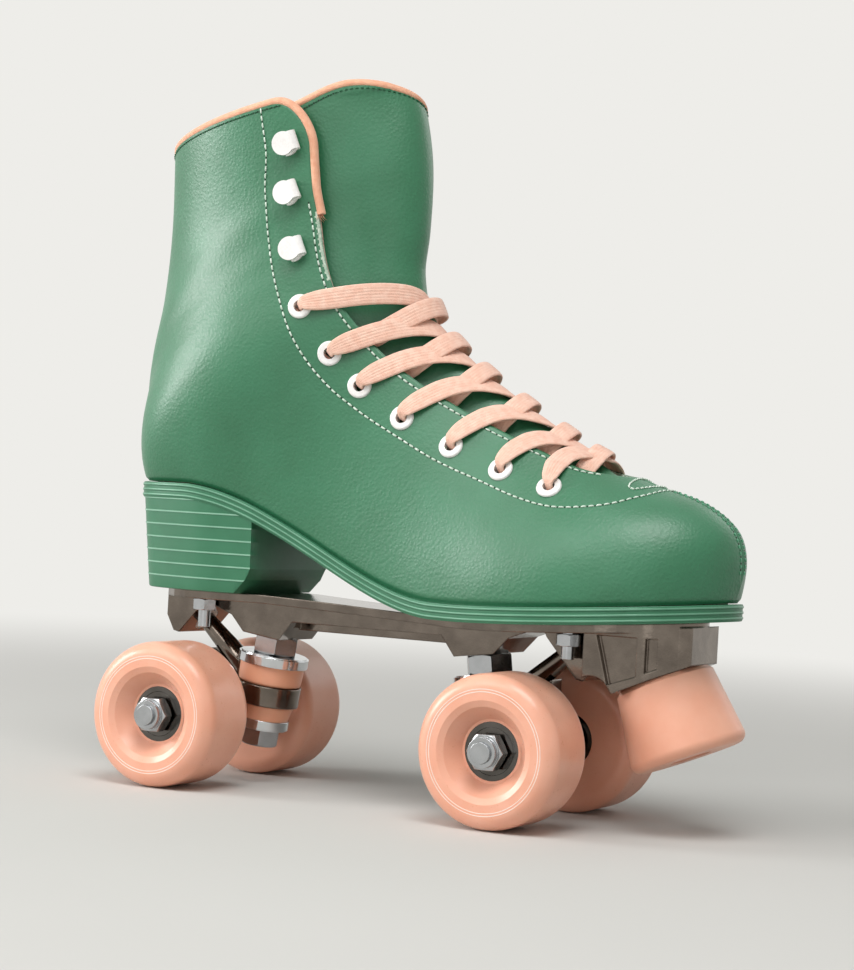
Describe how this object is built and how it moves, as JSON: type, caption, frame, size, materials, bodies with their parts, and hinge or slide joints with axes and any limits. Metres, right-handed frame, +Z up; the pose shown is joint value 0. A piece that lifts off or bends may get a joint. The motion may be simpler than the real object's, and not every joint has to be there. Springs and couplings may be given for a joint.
{
  "type": "quad roller skate",
  "caption": "High-top lace-up quad roller skate: green lasted boot on a stacked heel, cast metal plate, sprung steering trucks, peach urethane wheels on ball bearings and an angled toe stop.",
  "frame": {"origin": "on the floor under the middle of the bounding box, where the wheels stand", "axes": "+X to the toe, +Y to the wearer's left, +Z up"},
  "size_m": [0.2707, 0.1114, 0.2878],
  "materials": {
    "upper_leather": "smooth grained coated leather",
    "lining_fabric": "perforated lining fabric",
    "binding_tape": "woven edge binding",
    "sole_plastic": "satin moulded sole",
    "white_enamel": "gloss white enamel",
    "lace_cotton": "flat woven lace",
    "cast_alloy": "polished casting",
    "plated_steel": "zinc plated",
    "bright_chrome": "bright chrome",
    "stop_rubber": "smooth moulded",
    "cushion_urethane": "satin moulded",
    "cup_plastic": "natural nylon",
    "wheel_urethane": "cast urethane"
  },
  "bodies": {
    "boot": {"upper_right": "upper_leather", "upper_left": "upper_leather", "lining": "lining_fabric", "tongue": "upper_leather", "tongue_binding": "binding_tape", "collar_binding": "binding_tape", "insole": "lining_fabric", "outsole": "sole_plastic", "heel_block": "sole_plastic", "eyelets_right": "white_enamel", "eyelets_left": "white_enamel", "hooks_right": "white_enamel", "hooks_left": "white_enamel", "lace": "lace_cotton", "plate": "cast_alloy", "mounting_bolts": "plated_steel", "mounting_nuts": "plated_steel", "toe_stop": "stop_rubber", "toe_stop_bolt": "plated_steel", "front_kingpin": "plated_steel", "front_kingpin_nut": "plated_steel", "front_upper_retainer": "bright_chrome", "front_upper_cushion": "cushion_urethane", "front_lower_cushion": "cushion_urethane", "front_lower_retainer": "bright_chrome", "front_pivot_cup": "cup_plastic", "rear_kingpin": "plated_steel", "rear_kingpin_nut": "plated_steel", "rear_upper_retainer": "bright_chrome", "rear_upper_cushion": "cushion_urethane", "rear_lower_cushion": "cushion_urethane", "rear_lower_retainer": "bright_chrome", "rear_pivot_cup": "cup_plastic"},
    "front_truck": {"front_hanger": "cast_alloy", "front_axle": "plated_steel", "front_axle_nuts": "plated_steel", "front_washers": "plated_steel", "front_inner_rings": "bright_chrome", "front_spacers": "plated_steel", "front_balls": "bright_chrome"},
    "rear_truck": {"rear_hanger": "cast_alloy", "rear_axle": "plated_steel", "rear_axle_nuts": "plated_steel", "rear_washers": "plated_steel", "rear_inner_rings": "bright_chrome", "rear_spacers": "plated_steel", "rear_balls": "bright_chrome"},
    "front_right_roller": {"front_right_wheel": "wheel_urethane", "front_right_outer_rings": "bright_chrome"},
    "front_left_roller": {"front_left_wheel": "wheel_urethane", "front_left_outer_rings": "bright_chrome"},
    "rear_right_roller": {"rear_right_wheel": "wheel_urethane", "rear_right_outer_rings": "bright_chrome"},
    "rear_left_roller": {"rear_left_wheel": "wheel_urethane", "rear_left_outer_rings": "bright_chrome"}
  },
  "joints": [
    {"name": "front_steer", "type": "hinge", "parent": "boot", "child": "front_truck", "pos_m": [0.03274, 0, 0.0375], "axis": [0.7521, 0, 0.659], "range_deg": [-8, 8], "stiffness_Nm_per_rad": 14, "deforming": ["front_upper_cushion", "front_lower_cushion"]},
    {"name": "rear_steer", "type": "hinge", "parent": "boot", "child": "rear_truck", "pos_m": [-0.07146, 0, 0.0375], "axis": [-0.7521, 0, 0.659], "range_deg": [-8, 8], "stiffness_Nm_per_rad": 14, "deforming": ["rear_upper_cushion", "rear_lower_cushion"]},
    {"name": "front_right_spin", "type": "hinge", "parent": "front_truck", "child": "front_right_roller", "pos_m": [0.05514, -0.0372, 0.029], "axis": [0, 1, 0], "continuous": true},
    {"name": "front_left_spin", "type": "hinge", "parent": "front_truck", "child": "front_left_roller", "pos_m": [0.05514, 0.0372, 0.029], "axis": [0, 1, 0], "continuous": true},
    {"name": "rear_right_spin", "type": "hinge", "parent": "rear_truck", "child": "rear_right_roller", "pos_m": [-0.09386, -0.0372, 0.029], "axis": [0, 1, 0], "continuous": true},
    {"name": "rear_left_spin", "type": "hinge", "parent": "rear_truck", "child": "rear_left_roller", "pos_m": [-0.09386, 0.0372, 0.029], "axis": [0, 1, 0], "continuous": true}
  ]
}
